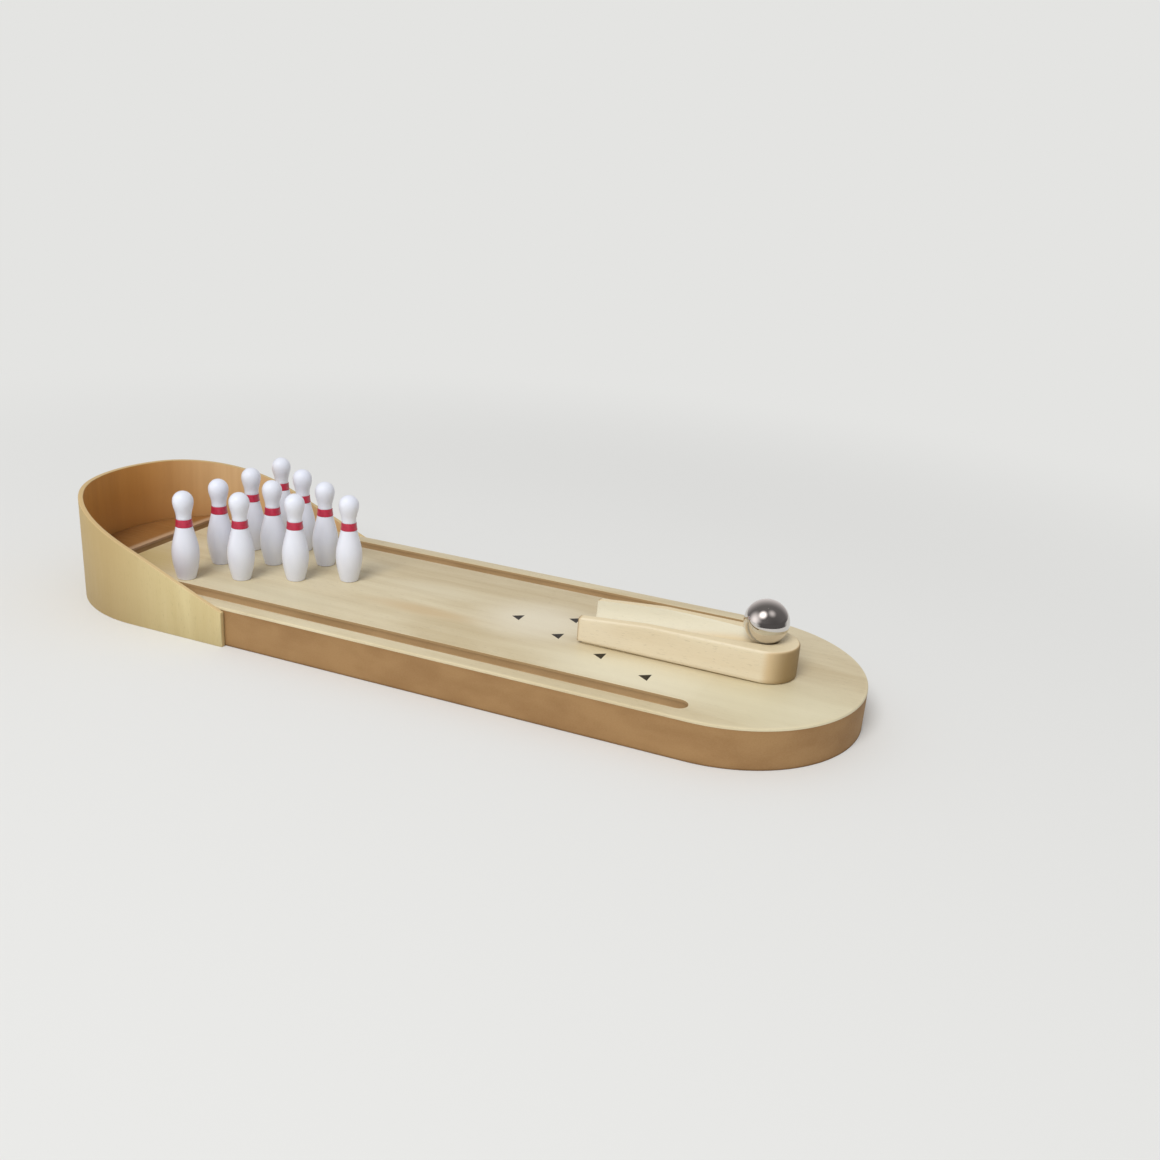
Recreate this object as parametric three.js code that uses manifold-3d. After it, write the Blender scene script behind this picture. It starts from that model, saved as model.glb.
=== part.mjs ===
// A table-top bowling game: ten pins on a wooden lane with a round backstop, and a ball on a ramp.
// Millimetres, +Z up. +X points from the pins to the player, and +Y to the player's right.
// The origin is the middle of the game's footprint, on the surface that it stands on.
import * as THREE from "three";
import { mergeVertices } from "three/addons/utils/BufferGeometryUtils.js";
import Module from "manifold-3d";

const wasm = await Module();
wasm.setup();

// Board: a core between two veneers, round at both ends
const boardLength = 300;
const boardWidth = 92;
const coreThickness = 12.2;
const veneerThickness = 0.95;
const veneerGlueLine = 0.05;

// Gutters: one on each side of the deck, both open into a groove behind the pins
const deckWidth = 68;
const gutterWidth = 6.5;
const gutterDepth = 3.6;
const gutterTipInset = 48.7; // from the player's end of the board
const deckBackInset = 24.5; // from the pin end of the board
const backGrooveWidth = 5.5;

// Backstop: a thin strip bent round the pin end, as high as this in its middle
const stripThickness = 1.8;
const stripGlueLine = 0.2;
const stripHeight = 39.4;
const stripEndHeight = 12.8;
const stripArmLength = 40; // the straight part on each side of the board
const crownCornerShare = 0.42; // of half the strip's length: where the level top turns down
const crownRoundingShare = 0.264; // of half the strip's length, to each side of that corner

// Pins: four rows, with the head pin towards the player
const pinRows = 4;
const pinPitch = 19.5;
const headPinInset = 107; // from the pin end of the board
const pinHeight = 33;
const footDiameter = 6.8;
const footRounding = 0.4;
const bellyDiameter = 9.8;
const neckDiameter = 5.3;
const headDiameter = 7.4;
const bellyShare = 0.29; // of the pin's height, as are the next three
const neckShare = 0.705;
const headShare = 0.885;
const stripeMiddleShare = 0.645;
const stripeWidth = 2.9;
const stripeDiameter = 6.2;
const stripeThickness = 0.45;
const stripeClearance = 0.05;

// Ramp: a block with a round rear end, and a channel from the ball's seat down to the lane
const rampLength = 73;
const rampWidth = 21.6;
const rampHeight = 11.4;
const rampInset = 23.2; // from the player's end of the board
const padLength = 49; // the level part of the top, from the rear end to where it slants down
const seatInset = 11.8; // from the ramp's rear end to the middle of the ball
const seatDepth = 1.7;
const lipThickness = 0.6;
const frontWallHeight = 1; // of the channel's upright walls in front, above its round floor

// Ball
const ballDiameter = 15;
const ballClearance = 0.25;

// Cutting and welding
const overrun = 1;
const weldDistance = 1e-4;

// Facets
const endSteps = 36; // round each half circle of the board
const armSteps = 6;
const pinSides = 20;
const profileSteps = 4; // in each stretch of a pin's profile
const ballSides = 28;
const channelSides = 40;

const underside = veneerThickness + veneerGlueLine;
const coreTop = underside + coreThickness;
const deckBottom = coreTop + veneerGlueLine;
const deckTop = deckBottom + veneerThickness;
const endRadius = boardWidth / 2;
const endCentre = boardLength / 2 - endRadius;
const channelRadius = ballDiameter / 2 + ballClearance;

/** A closed geometry as a solid that can be cut and joined. */
function solidOf(geometry) {
  const bare = geometry.clone();
  bare.deleteAttribute("normal");
  bare.deleteAttribute("uv");
  const welded = mergeVertices(bare, weldDistance);
  const mesh = new wasm.Mesh({
    numProp: 3,
    vertProperties: welded.attributes.position.array,
    triVerts: new Uint32Array(welded.index.array),
  });
  return new wasm.Manifold(mesh);
}

/** A solid's surface as a geometry. */
function geometryOf(solid) {
  const mesh = solid.getMesh();
  const geometry = new THREE.BufferGeometry();
  geometry.setAttribute("position", new THREE.BufferAttribute(mesh.vertProperties, mesh.numProp));
  geometry.setIndex(new THREE.BufferAttribute(mesh.triVerts, 1));
  geometry.computeVertexNormals();
  return geometry;
}

/** A plan outline raised from one height to another. */
function raised(outline, bottom, top) {
  const options = { depth: top - bottom, bevelEnabled: false, curveSegments: endSteps / 2 };
  return new THREE.ExtrudeGeometry(outline, options).translate(0, 0, bottom);
}

function material(colour, roughness, metalness) {
  return new THREE.MeshStandardMaterial({ color: colour, roughness, metalness });
}

function named(name, geometry, finish) {
  const mesh = new THREE.Mesh(geometry, finish);
  mesh.name = name;
  return mesh;
}

/** The board's plan: two half circles and the straights between them. */
function boardOutline() {
  const outline = new THREE.Shape();
  outline.absarc(endCentre, 0, endRadius, -Math.PI / 2, Math.PI / 2, false);
  outline.absarc(-endCentre, 0, endRadius, Math.PI / 2, (3 * Math.PI) / 2, false);
  outline.closePath();
  return outline;
}

/** The cutter for one side gutter, with its round tip towards the player. */
function sideGutter(side, grooveBack) {
  const halfWidth = gutterWidth / 2;
  const middle = side * (deckWidth / 2 + halfWidth);
  const tipCentre = boardLength / 2 - gutterTipInset - halfWidth;
  const outline = new THREE.Shape();
  outline.absarc(tipCentre, middle, halfWidth, -Math.PI / 2, Math.PI / 2, false);
  outline.lineTo(grooveBack, middle + halfWidth);
  outline.lineTo(grooveBack, middle - halfWidth);
  outline.closePath();
  return solidOf(raised(outline, deckTop - gutterDepth, deckTop + overrun));
}

/** The cutter for both gutters and for the groove behind the pins, which runs out at the board's edge. */
function gutterCutter() {
  const deckBack = deckBackInset - boardLength / 2;
  const grooveBack = deckBack - backGrooveWidth;
  const reach = boardWidth / 2 + overrun;
  const groove = new THREE.Shape();
  groove.moveTo(grooveBack, -reach);
  groove.lineTo(deckBack, -reach);
  groove.lineTo(deckBack, reach);
  groove.lineTo(grooveBack, reach);
  groove.closePath();
  const across = solidOf(raised(groove, deckTop - gutterDepth, deckTop + overrun));
  return across.add(sideGutter(-1, grooveBack)).add(sideGutter(1, grooveBack));
}

/** The board's core and its three sheets of veneer. */
function board() {
  const cutter = gutterCutter();
  const brown = material(0xa3855c, 0.8, 0);
  const core = solidOf(raised(boardOutline(), underside, coreTop)).subtract(cutter);
  const sheet = solidOf(raised(boardOutline(), deckBottom, deckTop)).subtract(cutter);
  const sheets = sheet.decompose();
  sheets.sort((a, b) => b.volume() - a.volume());
  const group = new THREE.Group();
  group.add(named("base_core", geometryOf(core), brown));
  group.add(named("deck_veneer", geometryOf(sheets[0]), material(0xd9d2b4, 0.5, 0)));
  group.add(named("catch_veneer", geometryOf(sheets[1]), material(0x9c7446, 0.6, 0)));
  group.add(named("underside_veneer", raised(boardOutline(), 0, veneerThickness), brown.clone()));
  return group;
}

/** Stations along the strip, from the end of one arm to the end of the other. */
function stripStations(inner) {
  const quarter = (Math.PI / 2) * (inner + stripThickness / 2);
  const stations = [];
  for (let i = 0; i < armSteps; i++) {
    const along = stripArmLength * (1 - i / armSteps);
    stations.push({ along, angle: -Math.PI / 2, distance: quarter + along });
  }
  for (let i = 0; i <= endSteps; i++) {
    const turn = i / endSteps - 1 / 2;
    stations.push({ along: 0, angle: -Math.PI * (1 + turn), distance: 2 * quarter * Math.abs(turn) });
  }
  for (let i = 1; i <= armSteps; i++) {
    const along = (stripArmLength * i) / armSteps;
    stations.push({ along, angle: (-3 * Math.PI) / 2, distance: quarter + along });
  }
  return stations;
}

/** The strip's height at a distance from its middle: level, then rounded over into a straight slant. */
function stripTop(distance, halfLength) {
  const corner = crownCornerShare * halfLength;
  const rounding = crownRoundingShare * halfLength;
  const slope = (stripHeight - stripEndHeight) / (halfLength - corner);
  if (distance <= corner - rounding) {
    return stripHeight;
  }
  if (distance >= corner + rounding) {
    return stripHeight - slope * (distance - corner);
  }
  return stripHeight - (slope * (distance - corner + rounding) ** 2) / (4 * rounding);
}

/** The bent strip as one closed band: four corners at each station. */
function backstop() {
  const inner = endRadius + stripGlueLine;
  const stations = stripStations(inner);
  const halfLength = stations[0].distance;
  const positions = [];
  for (const station of stations) {
    const top = stripTop(station.distance, halfLength);
    const corners = [[0, 0], [stripThickness, 0], [stripThickness, top], [0, top]];
    for (const [out, height] of corners) {
      const reach = inner + out;
      positions.push(station.along - endCentre + reach * Math.cos(station.angle));
      positions.push(reach * Math.sin(station.angle));
      positions.push(height);
    }
  }
  const index = [];
  for (let i = 0; i + 1 < stations.length; i++) {
    for (let side = 0; side < 4; side++) {
      const a = 4 * i + side;
      const b = 4 * i + ((side + 1) % 4);
      index.push(a, b, a + 4, b, b + 4, a + 4);
    }
  }
  const last = 4 * (stations.length - 1);
  index.push(0, 2, 1, 0, 3, 2, last, last + 1, last + 2, last, last + 2, last + 3);
  const geometry = new THREE.BufferGeometry();
  geometry.setAttribute("position", new THREE.Float32BufferAttribute(positions, 3));
  geometry.setIndex(index);
  geometry.computeVertexNormals();
  return named("backstop", geometry, material(0xc8b987, 0.6, 0));
}

/** A pin's radius at a height above its foot's rounding. */
function pinRadius(height) {
  const foot = footDiameter / 2;
  const belly = bellyDiameter / 2;
  const neck = neckDiameter / 2;
  const head = headDiameter / 2;
  const bellyHeight = bellyShare * pinHeight;
  const neckHeight = neckShare * pinHeight;
  const headHeight = headShare * pinHeight;
  const eased = (from, to, part) => from + ((to - from) * (1 - Math.cos(Math.PI * part))) / 2;
  if (height <= bellyHeight) {
    const part = (height - footRounding) / (bellyHeight - footRounding);
    return foot + (belly - foot) * Math.sin((Math.PI / 2) * part);
  }
  if (height <= neckHeight) {
    return eased(belly, neck, (height - bellyHeight) / (neckHeight - bellyHeight));
  }
  if (height <= headHeight) {
    return eased(neck, head, (height - neckHeight) / (headHeight - neckHeight));
  }
  const crown = (height - headHeight) / (pinHeight - headHeight);
  return head * Math.sqrt(Math.max(0, 1 - crown * crown));
}

/** Evenly spaced points of a pin's profile from one height to another, both included. */
function profileBetween(low, high) {
  const points = [];
  for (let i = 0; i <= profileSteps; i++) {
    const height = low + ((high - low) * i) / profileSteps;
    points.push(new THREE.Vector2(pinRadius(height), height));
  }
  return points;
}

/** The heights of the stripe's groove. */
function stripeEdges() {
  const middle = stripeMiddleShare * pinHeight;
  return [middle - stripeWidth / 2, middle + stripeWidth / 2];
}

function turned(profile) {
  return new THREE.LatheGeometry(profile, pinSides).rotateX(Math.PI / 2);
}

/** A pin: a rounded foot, a belly, the groove for its stripe, a neck and a round head. */
function pinGeometry() {
  const [low, high] = stripeEdges();
  const grooveRadius = stripeDiameter / 2 - stripeThickness - stripeClearance;
  const bellyHeight = bellyShare * pinHeight;
  const headHeight = headShare * pinHeight;
  const profile = [new THREE.Vector2(0, 0), new THREE.Vector2(footDiameter / 2 - footRounding, 0)];
  profile.push(...profileBetween(footRounding, bellyHeight));
  profile.push(...profileBetween(bellyHeight, low).slice(1));
  profile.push(new THREE.Vector2(grooveRadius, low));
  profile.push(new THREE.Vector2(grooveRadius, high));
  profile.push(...profileBetween(high, headHeight));
  for (let i = 1; i < profileSteps; i++) {
    const angle = ((Math.PI / 2) * i) / profileSteps;
    const reach = (headDiameter / 2) * Math.cos(angle);
    profile.push(new THREE.Vector2(reach, headHeight + (pinHeight - headHeight) * Math.sin(angle)));
  }
  profile.push(new THREE.Vector2(0, pinHeight));
  return turned(profile);
}

/** The stripe: a thin band that stands a little proud of the pin, clear of its groove all round. */
function stripeGeometry() {
  const [low, high] = stripeEdges();
  const bottom = low + stripeClearance;
  const top = high - stripeClearance;
  const outer = stripeDiameter / 2;
  const inner = outer - stripeThickness;
  const corners = [[inner, bottom], [outer, bottom], [outer, top], [inner, top], [inner, bottom]];
  return turned(corners.map(([radius, height]) => new THREE.Vector2(radius, height)));
}

/** The ten pins, numbered from the head pin back and from the player's left. */
function pins() {
  const group = new THREE.Group();
  const rowStep = pinPitch * Math.sin(Math.PI / 3);
  const headPin = headPinInset - boardLength / 2;
  let number = 0;
  for (let row = 0; row < pinRows; row++) {
    for (let place = 0; place <= row; place++) {
      number += 1;
      const pin = new THREE.Group();
      pin.add(named(`pin_${number}`, pinGeometry(), material(0xf1eff0, 0.2, 0)));
      pin.add(named(`stripe_${number}`, stripeGeometry(), material(0xb02346, 0.3, 0)));
      pin.position.set(headPin - row * rowStep, (place - row / 2) * pinPitch, deckTop);
      group.add(pin);
    }
  }
  return group;
}

/** The ramp's seat and slope, in a frame whose origin is on the lane under the middle of the ball. */
function channelLine() {
  const front = seatInset - rampLength;
  const seatFloor = rampHeight - seatDepth;
  const pitch = Math.atan((seatFloor - lipThickness) / -front);
  return { front, pitch, seatHeight: seatFloor + channelRadius };
}

/** The channel's cutter: a round-ended bar from the seat down past the ramp's front, open upwards. */
function channelCutter() {
  const { front, pitch, seatHeight } = channelLine();
  const reach = -front / Math.cos(pitch) + 2 * channelRadius;
  const bar = new THREE.CapsuleGeometry(channelRadius, reach, channelSides / 4, channelSides);
  bar.rotateZ(Math.PI / 2).translate(-reach / 2, 0, 0);
  const open = new THREE.BoxGeometry(reach, 2 * channelRadius, 2 * channelRadius);
  open.translate(-reach / 2, 0, channelRadius);
  const place = (geometry) => solidOf(geometry.rotateY(-pitch).translate(0, 0, seatHeight));
  return place(bar).add(place(open));
}

/** The block above the slanted part of the ramp's top. */
function rampTopCutter() {
  const { front } = channelLine();
  const slantEnd = seatInset - padLength;
  const frontHeight = lipThickness + channelRadius + frontWallHeight;
  const slope = (rampHeight - frontHeight) / (slantEnd - front);
  const side = new THREE.Shape();
  side.moveTo(front - overrun, frontHeight - slope * overrun);
  side.lineTo(slantEnd, rampHeight);
  side.lineTo(slantEnd, rampHeight + overrun);
  side.lineTo(front - overrun, rampHeight + overrun);
  side.closePath();
  const width = rampWidth + 2 * overrun;
  const wedge = new THREE.ExtrudeGeometry(side, { depth: width, bevelEnabled: false });
  return solidOf(wedge.rotateX(Math.PI / 2).translate(0, width / 2, 0));
}

/** The ramp: square in front, round behind, with its channel. */
function ramp() {
  const { front } = channelLine();
  const radius = rampWidth / 2;
  const outline = new THREE.Shape();
  outline.absarc(seatInset - radius, 0, radius, -Math.PI / 2, Math.PI / 2, false);
  outline.lineTo(front, radius);
  outline.lineTo(front, -radius);
  outline.closePath();
  const block = solidOf(raised(outline, 0, rampHeight));
  const cut = block.subtract(rampTopCutter()).subtract(channelCutter());
  return named("ramp", geometryOf(cut), material(0xe2d2ab, 0.6, 0));
}

/** The ramp and, in its seat, the ball, on the lane's middle line. */
function rampAndBall() {
  const group = new THREE.Group();
  const ball = new THREE.SphereGeometry(ballDiameter / 2, ballSides, ballSides / 2);
  const ballMesh = named("ball", ball, material(0xc9ccd0, 0.08, 1));
  ballMesh.position.z = channelLine().seatHeight;
  group.add(ramp(), ballMesh);
  group.position.set(boardLength / 2 - rampInset - seatInset, 0, deckTop);
  return group;
}

const game = new THREE.Group();
game.add(board(), backstop(), pins(), rampAndBall());
game.position.x = (stripThickness + stripGlueLine) / 2;

export default game;
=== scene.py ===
# %% [markdown]
# # A table-top bowling game
# A flat wooden board with two round ends, ten white pins, a ramp and a steel ball. This lesson
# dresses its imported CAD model: the frame says where each piece is, and each step makes one piece or
# finish there. Lengths are millimetres unless a comment says metres.

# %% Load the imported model
import math

import bmesh
import bpy
import numpy as np
from mathutils import Matrix, Vector


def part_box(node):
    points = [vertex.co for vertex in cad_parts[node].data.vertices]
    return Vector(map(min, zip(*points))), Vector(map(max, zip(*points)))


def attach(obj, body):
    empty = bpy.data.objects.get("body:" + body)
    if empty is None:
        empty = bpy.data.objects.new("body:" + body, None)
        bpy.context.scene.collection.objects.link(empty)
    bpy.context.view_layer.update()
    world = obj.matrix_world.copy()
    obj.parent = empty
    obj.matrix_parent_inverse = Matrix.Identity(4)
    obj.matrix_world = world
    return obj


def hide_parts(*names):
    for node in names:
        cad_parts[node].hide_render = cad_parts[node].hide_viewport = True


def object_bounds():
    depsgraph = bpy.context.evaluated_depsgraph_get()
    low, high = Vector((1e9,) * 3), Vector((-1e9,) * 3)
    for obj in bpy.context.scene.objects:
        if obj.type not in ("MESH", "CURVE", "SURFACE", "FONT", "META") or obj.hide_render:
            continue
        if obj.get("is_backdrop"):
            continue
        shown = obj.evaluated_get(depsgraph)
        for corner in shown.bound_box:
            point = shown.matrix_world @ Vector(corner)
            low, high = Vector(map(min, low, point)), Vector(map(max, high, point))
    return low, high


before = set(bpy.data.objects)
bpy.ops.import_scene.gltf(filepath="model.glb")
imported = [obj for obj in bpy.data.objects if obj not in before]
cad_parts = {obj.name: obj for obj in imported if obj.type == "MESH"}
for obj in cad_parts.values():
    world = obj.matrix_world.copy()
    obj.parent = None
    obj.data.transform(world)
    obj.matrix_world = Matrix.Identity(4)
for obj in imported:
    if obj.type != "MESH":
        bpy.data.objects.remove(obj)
cad_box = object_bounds()
MM = 0.001

# %% [markdown]
# ## The camera
# The photographer looked down by about 20 degrees from the player's left. A constraint could aim
# the camera, but the picture is tilted as well, so its axes are worked out and put into its matrix.

# %% Place the camera
turn, look_down, roll = (math.radians(angle) for angle in (20.42, 20.35, 4.2))
camera_spot = (0.17716, -0.34049, 0.16753)  # metres
back = Vector((
    math.sin(turn) * math.cos(look_down),
    -math.cos(turn) * math.cos(look_down),
    math.sin(look_down),
))
level_right = Vector((math.cos(turn), math.sin(turn), 0))
level_up = back.cross(level_right)
right = level_right * math.cos(roll) + level_up * math.sin(roll)
up = level_up * math.cos(roll) - level_right * math.sin(roll)
camera = bpy.data.objects.new("photo_camera", bpy.data.cameras.new("photo_camera"))
bpy.context.scene.collection.objects.link(camera)
camera.data.sensor_width = 36
camera.data.lens = 35.01
camera.data.clip_start = 0.01
camera.matrix_world = Matrix.Translation(camera_spot) @ (
    Matrix((right, up, back)).transposed().to_4x4()
)
bpy.context.scene.camera = camera
print("camera", [round(value, 3) for value in camera.location], "lens", round(camera.data.lens, 2))

# %% [markdown]
# ## Pieces from rings of points
# Nearly every piece is a skin over rings of points, up a board's side or round a pin. A bevel
# spoils thin slanting edges such as the ramp's channel, while rings give every edge its sanded
# rounding.


# %% Pieces and their skins
def piece_of(name, points, faces, flat_ends=0):
    """An object with smooth faces, of which the last few stay flat. Points are in millimetres."""
    mesh = bpy.data.meshes.new(name)
    mesh.from_pydata([tuple(MM * value for value in point) for point in points], [], faces)
    smooth = np.ones(len(faces), bool)
    smooth[len(faces) - flat_ends:] = False
    mesh.polygons.foreach_set("use_smooth", smooth)
    piece = bpy.data.objects.new(name, mesh)
    bpy.context.scene.collection.objects.link(piece)
    return piece


def skin(count, width, round_about=True):
    """Faces between count rings of width points each."""
    faces = []
    for ring in range(count - 1):
        for place in range(width if round_about else width - 1):
            a = ring * width + place
            b = ring * width + (place + 1) % width
            faces.append((a, b, b + width, a + width))
    return faces


def weld(piece, turn_outwards=False):
    """Joins points that lie in the same place, such as those at a pole."""
    same_place = 1e-7  # metres
    shape = bmesh.new()
    shape.from_mesh(piece.data)
    bmesh.ops.remove_doubles(shape, verts=shape.verts, dist=same_place)
    if turn_outwards:
        bmesh.ops.recalc_face_normals(shape, faces=shape.faces)
    shape.to_mesh(piece.data)
    shape.free()
    return piece


print("the skin between two rings of 4 points has", len(skin(2, 4)), "faces")

# %% [markdown]
# ## Slabs with sanded edges
# The board's layers are flat slabs. A bevelled extrusion rounds all edges alike, so each ring is
# the outline moved inwards, point by point. Sharp edges are marked, or smooth shading would bend
# the light round them.


# %% Outlines, roundings and slabs
def arc(centre_x, centre_y, radius, start, end, steps):
    """Points of an arc in plan, from one angle in degrees to another."""
    angles = np.radians(np.linspace(start, end, steps + 1))
    x, y = centre_x + radius * np.cos(angles), centre_y + radius * np.sin(angles)
    return np.column_stack((x, y))


def quarter_round(steps):
    """How far in and how far down a quarter circle is at each step, as shares of its radius."""
    angles = np.radians(np.linspace(0, 90, steps + 1))
    return [(1 - math.cos(angle), 1 - math.sin(angle)) for angle in angles]


def slanting(past, easing, top, slope):
    """A height that is level, then slants down. Past is counted from the eased corner."""
    if past <= -easing:
        return top
    if past >= easing:
        return top - slope * past
    return top - slope * (past + easing) ** 2 / (4 * easing)


def inset(outline, distance):
    """Moves every point of an outline inwards, each by its own distance if there are several."""
    along = np.roll(outline, -1, axis=0) - outline
    along /= np.linalg.norm(along, axis=1)[:, None]
    after = np.column_stack((-along[:, 1], along[:, 0]))
    before = np.roll(after, 1, axis=0)
    mitre = (before + after) / (1 + np.sum(before * after, axis=1))[:, None]
    return outline + mitre * np.broadcast_to(distance, len(outline))[:, None]


slab_crease, wood_crease = math.radians(35), math.radians(50)


def slab(name, outline, low, high, top_round, bottom_round):
    """A flat piece between two heights, with its top and bottom edges rounded over."""
    width = len(outline)
    rounding = quarter_round(5)
    rings = [(bottom_round * down, low + bottom_round * inwards) for inwards, down in rounding]
    rings += [(top_round * inwards, high - top_round * down) for inwards, down in rounding]
    points = np.vstack([
        np.column_stack((inset(outline, distance), np.broadcast_to(height, width)))
        for distance, height in rings
    ])
    faces = skin(len(rings), width)
    faces.append(tuple(range(width - 1, -1, -1)))
    faces.append(tuple(range((len(rings) - 1) * width, len(rings) * width)))
    piece = weld(piece_of(name, points, faces, flat_ends=2))
    piece.data.set_sharp_from_angle(angle=slab_crease)
    return piece


def in_place(piece, body, slot, *nodes):
    """Lets a piece ride on its body and stand for its CAD nodes."""
    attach(piece, body)
    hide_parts(*nodes)
    print(piece.name, "rides on", body, "with", len(piece.data.polygons), "faces")


print("halfway round a corner:", [round(share, 3) for share in quarter_round(2)[1]])

# %% [markdown]
# ## The board's sizes
# The board is two half circles and the straights between them. A gutter runs down each side and
# opens into a groove behind the pins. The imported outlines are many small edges, so only the main
# sizes are taken over.


# %% Measure the board
def millimetre_box(node):
    """The corners of a CAD node in millimetres."""
    low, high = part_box(node)
    return np.array(low) / MM, np.array(high) / MM


core_low, core_high = millimetre_box("base_core")
lane_low, lane_high = millimetre_box("deck_veneer")
catch_low, catch_high = millimetre_box("catch_veneer")
sheet_low, sheet_high = millimetre_box("underside_veneer")
lane_top = lane_high[2]
middle_x = (core_low[0] + core_high[0]) / 2
end_radius = (core_high[1] - core_low[1]) / 2
end_centre = (core_high[0] - core_low[0]) / 2 - end_radius
lane_back = lane_low[0] - middle_x
catch_front = catch_high[0] - middle_x
lane_half = 34
gutter_width, gutter_depth, gutter_end = 6.5, 3.6, 98.05
rim_inner = lane_half + gutter_width
gutter_middle = lane_half + gutter_width / 2
print("round ends of", round(end_radius, 2), "mm; the lane ends at", round(lane_back, 2))

# %% [markdown]
# ## The outline of the lane
# The gutters part the pale top sheet into a lane and two rims. A curve could draw it, but a list of
# points lets each stretch have its own rounding: the outer edge well sanded, the routed ones
# hardly.

# %% Outline the board and the lane
outer_rounding, routed_rounding, rounded_share = 0.45, 0.22, 0.3
board_outline = np.vstack((
    arc(end_centre, 0, end_radius, -90, 90, 96),
    arc(-end_centre, 0, end_radius, 90, 270, 96),
))


def round_end_angle(x):
    """The angle at which the pins' round end passes a distance along the board."""
    return math.degrees(math.acos((x + end_centre) / end_radius))


def rim_at(x):
    """The width of a rim at a distance along the board."""
    if x < -end_centre:
        return math.sqrt(end_radius**2 - (x + end_centre) ** 2) - rim_inner
    return end_radius - rim_inner


def gutter_tip(side, start, end):
    """The round end of the gutter on the side that is +1 or -1."""
    return arc(gutter_end, side * gutter_middle, gutter_width / 2, start, end, 20)


back_angle = round_end_angle(lane_back)
outer_edge = np.vstack((
    arc(-end_centre, 0, end_radius, -back_angle, -90, 24),
    arc(end_centre, 0, end_radius, -90, 90, 96),
    arc(-end_centre, 0, end_radius, 90, back_angle, 24),
))
wall_stops = np.array([lane_back, -124.5, -123, -121, -118, -114, -108, -100, -50, 0, 50])
far_wall, near_wall = (
    np.column_stack((wall_stops, np.full(len(wall_stops), side * rim_inner))) for side in (1, -1)
)
lane_outline = np.vstack((
    outer_edge,
    far_wall,
    gutter_tip(1, 90, -90),
    [(lane_back, lane_half), (lane_back, -lane_half)],
    gutter_tip(-1, 90, -90),
    near_wall[::-1],
))
is_outer = np.arange(len(lane_outline)) < len(outer_edge)
lane_rounding = np.where(is_outer, outer_rounding, routed_rounding)
rim_widths = np.array([rim_at(x) for x in lane_outline[:, 0]])
lane_rounding = np.minimum(lane_rounding, rounded_share * rim_widths)
to_middle = np.array([middle_x, 0])
print("the narrowest rim is", round(rim_widths.min(), 2), "mm wide")

# %% [markdown]
# ## The board's core
# The core is thick brown fibreboard. Its gutters and groove are equally deep, so one outline is the
# router's path. A slab with its bottom edge rounded, as a blunt bit leaves it, stands for the path,
# and one boolean takes it out.

# %% Rout the core
overrun, bit_corner, level = 1, 0.55, 0.999
beyond = end_radius + overrun
router_path = np.vstack((
    [(catch_front, -beyond), (lane_back, -beyond), (lane_back, -rim_inner)],
    gutter_tip(-1, -90, 90),
    [(lane_back, -lane_half), (lane_back, lane_half)],
    gutter_tip(1, -90, 90),
    [(lane_back, rim_inner), (lane_back, beyond), (catch_front, beyond)],
))
core = slab("board_core", board_outline + to_middle, core_low[2], core_high[2], 0.0, 0.0)
gutter_floor, above = lane_top - gutter_depth, lane_top + overrun
bit_path = slab("bit_path", router_path + to_middle, gutter_floor, above, 0.0, bit_corner)
routing = core.modifiers.new("routing", "BOOLEAN")
routing.operation = "DIFFERENCE"
routing.solver = "EXACT"
routing.object = bit_path
bpy.context.view_layer.update()
cut_core = core.evaluated_get(bpy.context.evaluated_depsgraph_get())
routed = bpy.data.meshes.new_from_object(cut_core)
core.modifiers.clear()
core.data = routed
bpy.data.objects.remove(bit_path)
directions = np.zeros(3 * len(routed.polygons), np.float32)
routed.polygons.foreach_get("normal", directions)
routed.polygons.foreach_set("use_smooth", np.abs(directions.reshape(-1, 3)[:, 2]) < level)
routed.set_sharp_from_angle(angle=slab_crease)
in_place(core, "board", "core", "base_core")

# %% [markdown]
# ## The three sheets of veneer
# A pale sheet is glued on as the lane, a brown one as the catch for fallen pins, and one underneath
# keeps the board flat. Planes with a Solidify modifier would do, but the lane's edge is sanded
# round, so all are slabs.

# %% Make the sheets
lane = slab("lane_sheet", lane_outline + to_middle, lane_low[2], lane_top, lane_rounding, 0.0)
in_place(lane, "board", "veneer", "deck_veneer")
catch_angle = round_end_angle(catch_front)
catch_outline = arc(-end_centre, 0, end_radius, catch_angle, 360 - catch_angle, 72)
catch = slab(
    "catch_sheet", catch_outline + to_middle, catch_low[2], catch_high[2], routed_rounding, 0.0
)
in_place(catch, "board", "catch", "catch_veneer")
balance = slab("balance_sheet", board_outline + to_middle, sheet_low[2], sheet_high[2], 0.0, 0.1)
in_place(balance, "board", "core", "underside_veneer")

# %% [markdown]
# ## The backstop's section
# The backstop is a strip of three-ply wood, cut down in a slant on both sides. A curve's bevel
# object can't change its height alone, so the section is worked out anew at each station.

# %% The strip's height and section
_, strip_high = millimetre_box("backstop")
strip_top = strip_high[2]
strip_thickness, strip_arm, strip_end_top = 1.8, 40, 12.8
strip_inner = strip_high[1] - strip_thickness
strip_edge, strip_chamfer = 0.28, 0.15
quarter = math.pi / 2 * (strip_inner + strip_thickness / 2)
half_strip = quarter + strip_arm
corner, easing = 0.42 * half_strip, 0.264 * half_strip
slant = (strip_top - strip_end_top) / (half_strip - corner)


def strip_height(distance):
    """The strip's height: level in the middle and slanting down to its ends."""
    return slanting(distance - corner, easing, strip_top, slant)


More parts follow.
